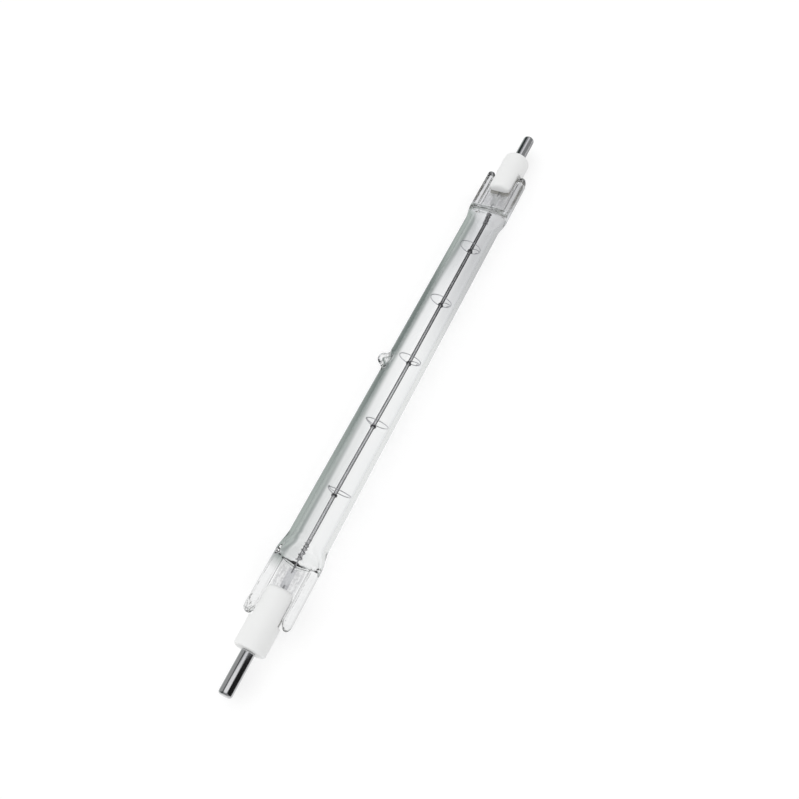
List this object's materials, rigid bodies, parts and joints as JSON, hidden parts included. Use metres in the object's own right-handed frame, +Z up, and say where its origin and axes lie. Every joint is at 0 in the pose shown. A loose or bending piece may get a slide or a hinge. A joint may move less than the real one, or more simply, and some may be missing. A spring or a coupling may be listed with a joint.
{
  "type": "quartz heating tube",
  "caption": "Double-ended clear quartz heat lamp with a coiled filament on wire supports, pressed seals, slotted white ceramic end sleeves and round contact pins.",
  "frame": {"origin": "on the lamp's long axis, half way between the ends of the contact pins", "axes": "+X along the lamp, +Z up, with the left seal's flats level; the lamp lies on the tube's lowest line"},
  "size_m": [0.1756, 0.0126, 0.0102],
  "materials": {
    "quartz": "clear polished",
    "filament": "dark tungsten wire",
    "support": "dark tungsten wire",
    "lead": "drawn molybdenum wire",
    "foil": "bright molybdenum foil",
    "ceramic": "matte white",
    "cement": "matte cement",
    "pin": "bright plated"
  },
  "bodies": {
    "root": {"quartz_tube": "quartz", "filament": "filament", "support_1": "support", "support_2": "support", "support_3": "support", "support_4": "support", "support_5": "support", "overwind_left": "support", "overwind_right": "support", "inner_lead_left": "lead", "inner_lead_right": "lead", "foil_left": "foil", "foil_right": "foil", "outer_lead_left": "lead", "outer_lead_right": "lead", "ceramic_left": "ceramic", "ceramic_right": "ceramic", "cement_left": "cement", "cement_right": "cement", "pin_left": "pin", "pin_right": "pin"}
  },
  "joints": []
}
